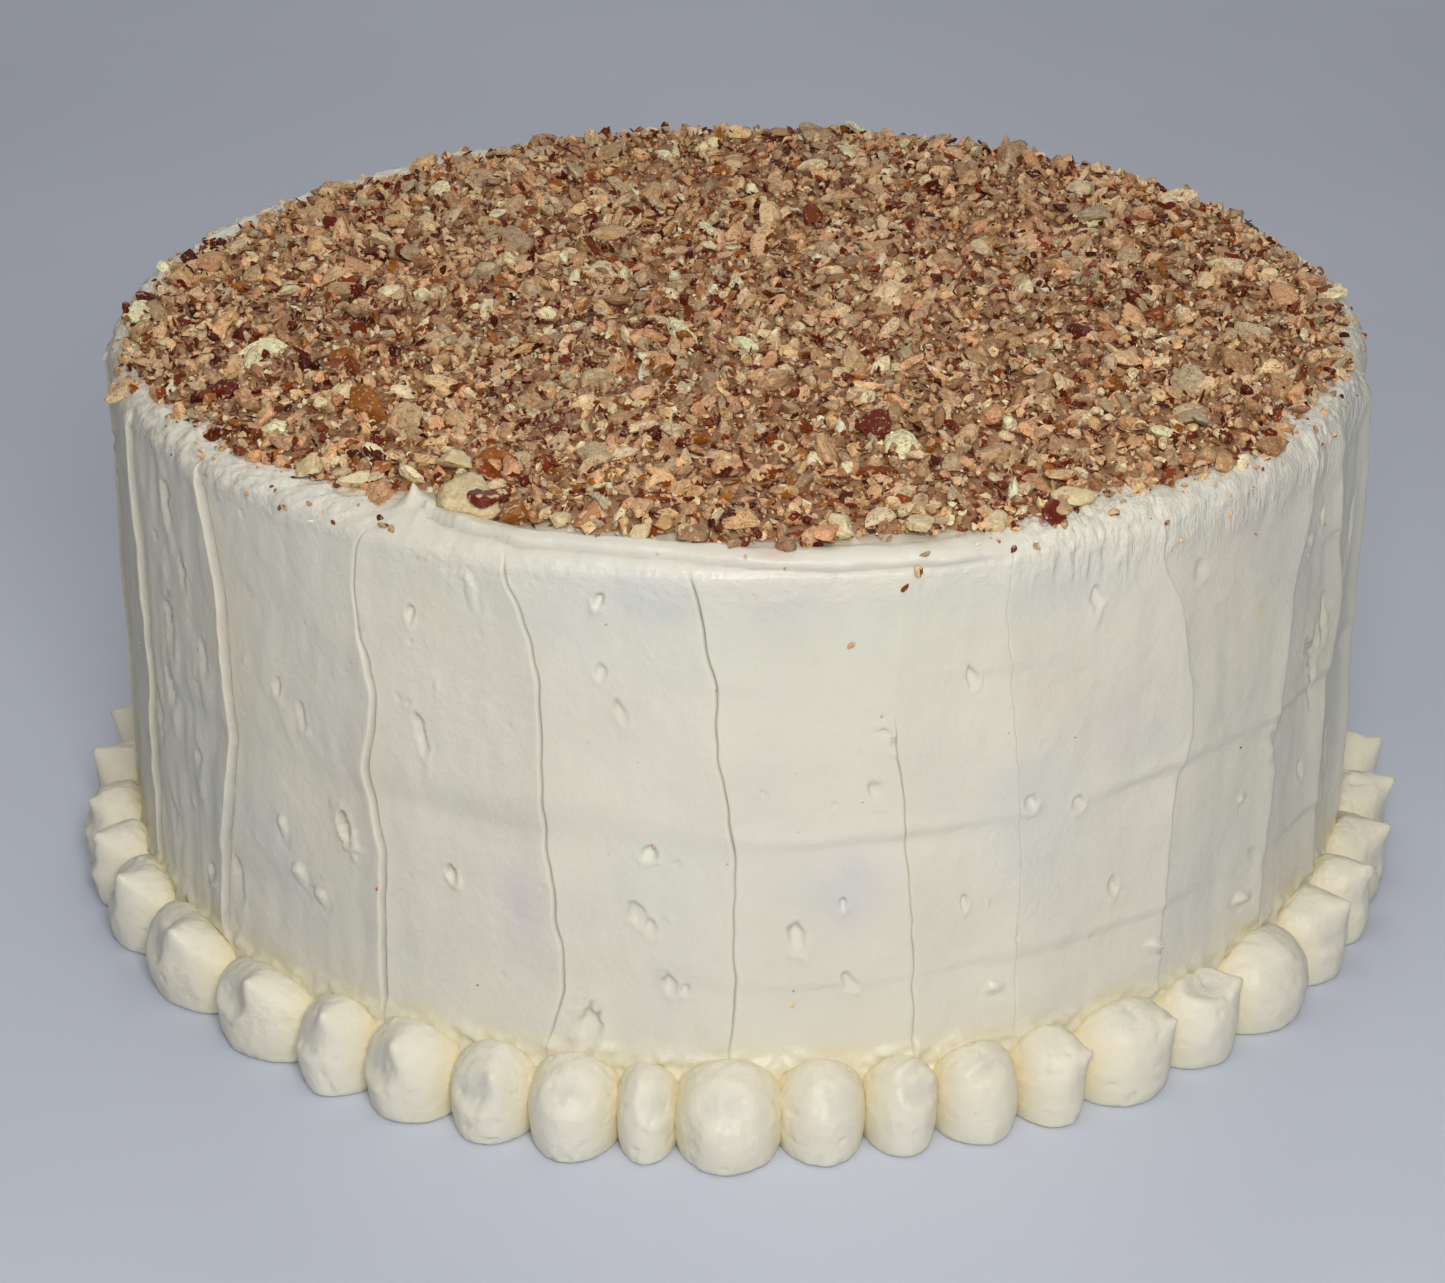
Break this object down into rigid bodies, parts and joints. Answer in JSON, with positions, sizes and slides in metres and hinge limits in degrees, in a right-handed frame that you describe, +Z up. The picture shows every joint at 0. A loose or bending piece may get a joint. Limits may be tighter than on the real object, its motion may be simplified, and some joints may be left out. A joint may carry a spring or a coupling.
{
  "type": "layer cake",
  "caption": "Tall round layer cake, uncut, with knife-smoothed cream icing, a bed of chopped nuts on top and a ring of piped icing beads round its foot.",
  "frame": {"origin": "centre of the cake's flat underside", "axes": "+Z up; -Y towards the front, the side that the picture shows; +X to the right as seen from the front"},
  "size_m": [0.2713, 0.2704, 0.1175],
  "materials": {
    "icing": "smooth soft cream icing with a faint sheen",
    "piped_icing": "soft cream icing with a faint sheen",
    "chopped_nuts": "dry chopped nuts, pale flesh and red-brown skin"
  },
  "bodies": {
    "root": {"iced_cake": "icing", "chopped_pecans": "chopped_nuts", "bead_01": "piped_icing", "bead_02": "piped_icing", "bead_03": "piped_icing", "bead_04": "piped_icing", "bead_05": "piped_icing", "bead_06": "piped_icing", "bead_07": "piped_icing", "bead_08": "piped_icing", "bead_09": "piped_icing", "bead_10": "piped_icing", "bead_11": "piped_icing", "bead_12": "piped_icing", "bead_13": "piped_icing", "bead_14": "piped_icing", "bead_15": "piped_icing", "bead_16": "piped_icing", "bead_17": "piped_icing", "bead_18": "piped_icing", "bead_19": "piped_icing", "bead_20": "piped_icing", "bead_21": "piped_icing", "bead_22": "piped_icing", "bead_23": "piped_icing", "bead_24": "piped_icing", "bead_25": "piped_icing", "bead_26": "piped_icing", "bead_27": "piped_icing", "bead_28": "piped_icing", "bead_29": "piped_icing", "bead_30": "piped_icing", "bead_31": "piped_icing", "bead_32": "piped_icing", "bead_33": "piped_icing", "bead_34": "piped_icing", "bead_35": "piped_icing", "bead_36": "piped_icing", "bead_37": "piped_icing", "bead_38": "piped_icing", "bead_39": "piped_icing", "bead_40": "piped_icing", "bead_41": "piped_icing", "bead_42": "piped_icing", "bead_43": "piped_icing", "bead_44": "piped_icing"}
  },
  "joints": []
}
